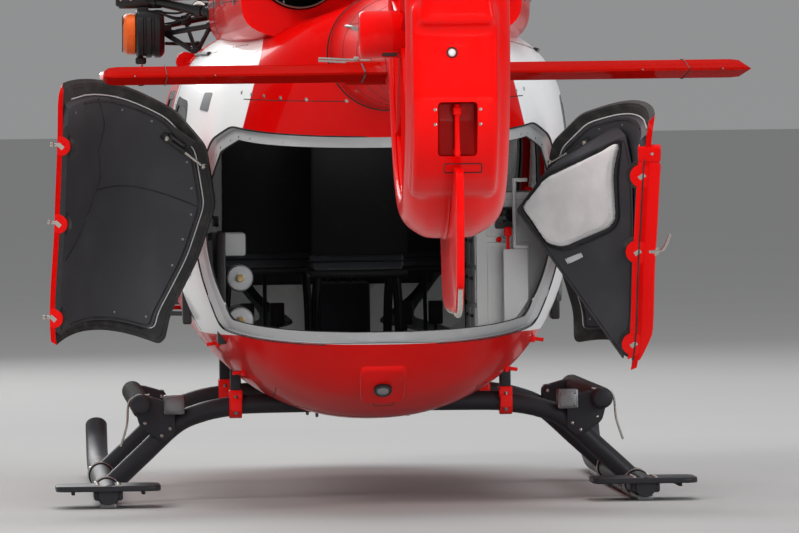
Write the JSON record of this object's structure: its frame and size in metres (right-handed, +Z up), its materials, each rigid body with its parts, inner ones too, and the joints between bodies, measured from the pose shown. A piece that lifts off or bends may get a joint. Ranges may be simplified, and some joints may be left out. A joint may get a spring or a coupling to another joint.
{
  "type": "twin-engine light rescue helicopter on skids",
  "caption": "Light rescue helicopter on skids with a shrouded tail fan, rear clamshell doors standing open, hinged front doors and a turning main rotor.",
  "frame": {"origin": "on the ground under the middle of the whole helicopter's bounding box, rotor blades included", "axes": "+Y to the tail, +X to the helicopter's left side, +Z up; the rotor mast is at Y = -2.11 m"},
  "size_m": [8.07, 12.167, 3.965],
  "materials": {
    "red_paint": "gloss signal red, white flanks",
    "door_red": "gloss signal red with a dark padded lining",
    "cowl_red": "gloss signal red",
    "tail_red": "gloss signal red",
    "fan_red": "satin red",
    "fan_grey": "satin dark grey",
    "window_glass": "tinted clear",
    "floor_grey": "matte non-slip grey",
    "panel_black": "matte black",
    "cabinet_grey": "satin light grey",
    "seat_cloth": "dark grey woven cover",
    "pouch_cloth": "light grey woven cover with black piping",
    "drive_metal": "cast grey",
    "burnt_steel": "heat-stained steel",
    "gear_black": "satin black",
    "hoist_black": "satin black",
    "hoist_orange": "satin orange",
    "hoist_steel": "brushed steel",
    "rotor_metal": "dark anodised metal",
    "blade_grey": "satin dark grey"
  },
  "bodies": {
    "airframe": {"fuselage_side_left": "red_paint", "fuselage_side_right": "red_paint", "fuselage_quarter_left": "red_paint", "fuselage_quarter_right": "red_paint", "fuselage_belly": "red_paint", "fuselage_roof": "red_paint", "fuselage_nose": "red_paint", "cabin_floor": "floor_grey", "instrument_panel": "panel_black", "medical_cabinet": "cabinet_grey", "medical_seat": "seat_cloth", "front_seat_left": "seat_cloth", "front_seat_right": "seat_cloth", "main_gearbox": "drive_metal", "engine_left": "drive_metal", "engine_right": "drive_metal", "exhaust_left": "burnt_steel", "exhaust_right": "burnt_steel", "mast_cowl": "cowl_red", "engine_cowl_left": "cowl_red", "engine_cowl_right": "cowl_red", "tail_fairing": "tail_red", "tail_boom": "tail_red", "stabilizer": "tail_red", "fan_shroud_fin": "tail_red", "ventral_fin": "tail_red", "fan_gearbox": "fan_red", "skid_left": "gear_black", "skid_right": "gear_black", "cross_tube_front": "gear_black", "cross_tube_rear": "gear_black", "step_left": "gear_black", "step_right": "gear_black", "hoist_frame": "hoist_black", "hoist_winch": "hoist_black", "hoist_cover": "hoist_orange", "hoist_hook": "hoist_steel", "sliding_door_left": "door_red", "sliding_door_glass_left": "window_glass", "windscreen_left": "window_glass", "chin_window_left": "window_glass", "quarter_window_left": "window_glass", "sliding_door_right": "door_red", "sliding_door_glass_right": "window_glass", "windscreen_right": "window_glass", "chin_window_right": "window_glass", "quarter_window_right": "window_glass"},
    "front_door_left": {"front_door_left": "door_red", "front_door_glass_left": "window_glass"},
    "front_door_right": {"front_door_right": "door_red", "front_door_glass_right": "window_glass"},
    "rear_door_left": {"rear_door_left": "door_red"},
    "rear_door_right": {"rear_door_right": "door_red", "door_pouch": "pouch_cloth"},
    "main_rotor": {"rotor_hub": "rotor_metal", "rotor_blade_1": "blade_grey", "rotor_blade_2": "blade_grey", "rotor_blade_3": "blade_grey", "rotor_blade_4": "blade_grey"},
    "tail_fan": {"tail_fan": "fan_grey"}
  },
  "joints": [
    {"name": "main_rotor_spin", "type": "hinge", "parent": "airframe", "child": "main_rotor", "pos_m": [0, -2.11, 3.31], "axis": [0, 0, 1], "continuous": true},
    {"name": "tail_fan_spin", "type": "hinge", "parent": "airframe", "child": "tail_fan", "pos_m": [0, 5.08, 1.955], "axis": [1, 0, 0], "continuous": true},
    {"name": "front_door_left_hinge", "type": "hinge", "parent": "airframe", "child": "front_door_left", "pos_m": [0.842, -3.826, 0.9], "axis": [0, 0, 1], "range_deg": [-82, 0]},
    {"name": "front_door_right_hinge", "type": "hinge", "parent": "airframe", "child": "front_door_right", "pos_m": [-0.842, -3.826, 0.9], "axis": [0, 0, 1], "range_deg": [0, 82]},
    {"name": "rear_door_left_hinge", "type": "hinge", "parent": "airframe", "child": "rear_door_left", "pos_m": [0.808, -0.215, 1.14], "axis": [-0.1702, 0.4574, 0.8728], "range_deg": [-6, 109.2]},
    {"name": "rear_door_right_hinge", "type": "hinge", "parent": "airframe", "child": "rear_door_right", "pos_m": [-0.808, -0.215, 1.14], "axis": [0.1702, 0.4574, 0.8728], "range_deg": [-82.4, 20]}
  ]
}
